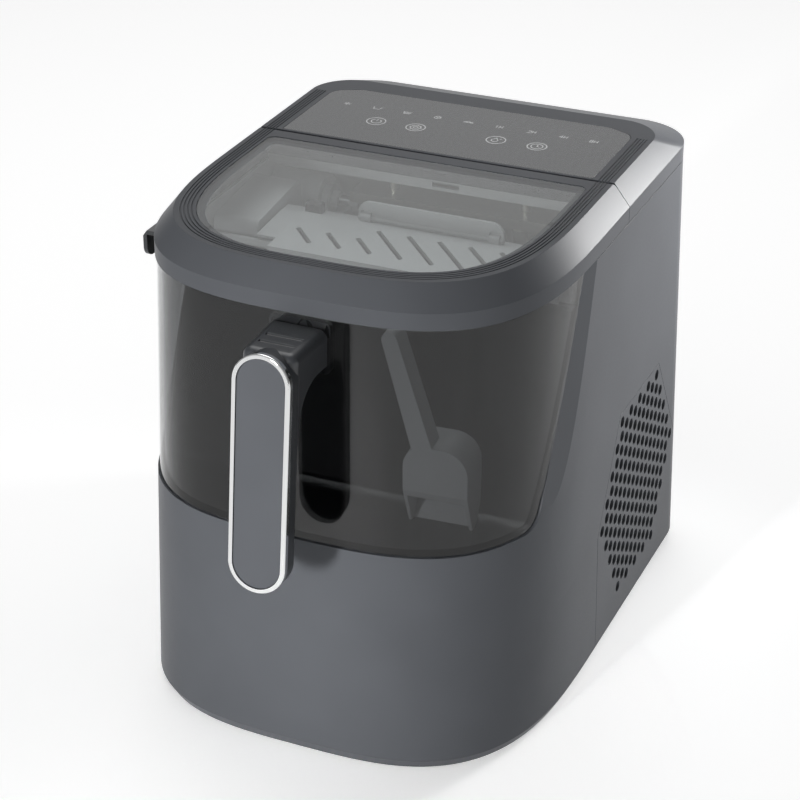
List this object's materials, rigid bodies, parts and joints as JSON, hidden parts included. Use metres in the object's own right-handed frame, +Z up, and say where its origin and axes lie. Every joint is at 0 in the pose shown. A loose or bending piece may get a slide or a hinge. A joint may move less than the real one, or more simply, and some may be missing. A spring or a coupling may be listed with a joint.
{
  "type": "countertop ice maker",
  "caption": "Countertop ice maker with a clear pull-out ice drawer at the front, a windowed lifting lid, a touch panel and side grilles.",
  "frame": {"origin": "middle of the whole footprint, handle and drain plug included, on the surface it stands on", "axes": "+X to the right of a person facing the front, +Y to the back, +Z up"},
  "size_m": [0.2404, 0.3666, 0.2783],
  "materials": {
    "grey_abs": "moulded, satin",
    "dark_abs": "moulded, satin",
    "pale_abs": "moulded, light grey",
    "panel_film": "printed touch panel, smooth",
    "clear_window": "clear moulded, polished",
    "smoked_clear": "smoked transparent, polished",
    "chrome": "bright plated",
    "rubber": "moulded",
    "silicone": "soft translucent hose",
    "steel": "zinc plated",
    "nickel": "nickel plated",
    "copper": "drawn copper tube",
    "aluminium": "sheet fins",
    "black_enamel": "stoved enamel",
    "circuit_board": "laminate with parts",
    "scoop_plastic": "moulded, semi-gloss"
  },
  "bodies": {
    "casing": {"base_tray": "dark_abs", "feet": "rubber", "body_screws": "steel", "main_housing": "grey_abs", "rear_cover": "grey_abs", "top_cover": "grey_abs", "control_panel": "panel_film", "control_board": "circuit_board", "bay_liner": "dark_abs", "ice_tub": "pale_abs", "ice_slide": "pale_abs", "slide_rail": "pale_abs", "flap_clips": "pale_abs", "ice_sensors": "dark_abs", "drive_housing": "pale_abs", "tilt_motor": "pale_abs", "tray_bearing": "pale_abs", "evaporator": "nickel", "evaporator_lines": "copper", "evaporator_hood": "pale_abs", "water_tank": "pale_abs", "water_pump": "dark_abs", "pump_hose": "silicone", "drain_hose": "silicone", "drain_port": "dark_abs", "compressor": "black_enamel", "compressor_grommets": "rubber", "grommet_screws": "steel", "discharge_line": "copper", "filter_drier": "copper", "condenser": "aluminium", "fan_shroud": "dark_abs", "fan_motor": "black_enamel", "main_board": "circuit_board", "power_inlet": "dark_abs"},
    "lid": {"lid_frame": "grey_abs", "lid_window": "clear_window", "lid_hinge_pins": "steel", "lid_tab": "dark_abs"},
    "drawer": {"drawer_bucket": "smoked_clear", "drawer_handle": "dark_abs", "handle_trim": "chrome", "handle_inlay": "grey_abs", "handle_backplate": "dark_abs", "handle_screws": "steel", "ice_scoop": "scoop_plastic"},
    "tray": {"water_tray": "pale_abs", "tray_shafts": "steel"},
    "flap": {"ice_flap": "pale_abs"},
    "fan": {"fan_impeller": "dark_abs"},
    "drain_plug": {"drain_cap": "rubber"}
  },
  "joints": [
    {"name": "lid_hinge", "type": "hinge", "parent": "casing", "child": "lid", "pos_m": [0, 0.04177, 0.2759], "axis": [-1, 0, 0], "range_deg": [0, 75]},
    {"name": "drawer_slide", "type": "slide", "parent": "casing", "child": "drawer", "axis": [0, -1, 0], "range_m": [0, 0.16]},
    {"name": "tray_tilt", "type": "hinge", "parent": "casing", "child": "tray", "pos_m": [0.012, 0.05572, 0.236], "axis": [1, 0, 0], "range_deg": [0, 50]},
    {"name": "flap_tilt", "type": "hinge", "parent": "casing", "child": "flap", "pos_m": [0.012, 0.01372, 0.2476], "axis": [1, 0, 0], "range_deg": [0, 40]},
    {"name": "fan_spin", "type": "hinge", "parent": "casing", "child": "fan", "pos_m": [0.07, 0.07522, 0.0669], "axis": [1, 0, 0], "continuous": true},
    {"name": "drain_pull", "type": "slide", "parent": "casing", "child": "drain_plug", "axis": [0, 1, 0], "range_m": [0, 0.02]}
  ],
  "couplings": [
    {"joint": "flap_tilt", "follows": "tray_tilt", "ratio": 0.8}
  ]
}
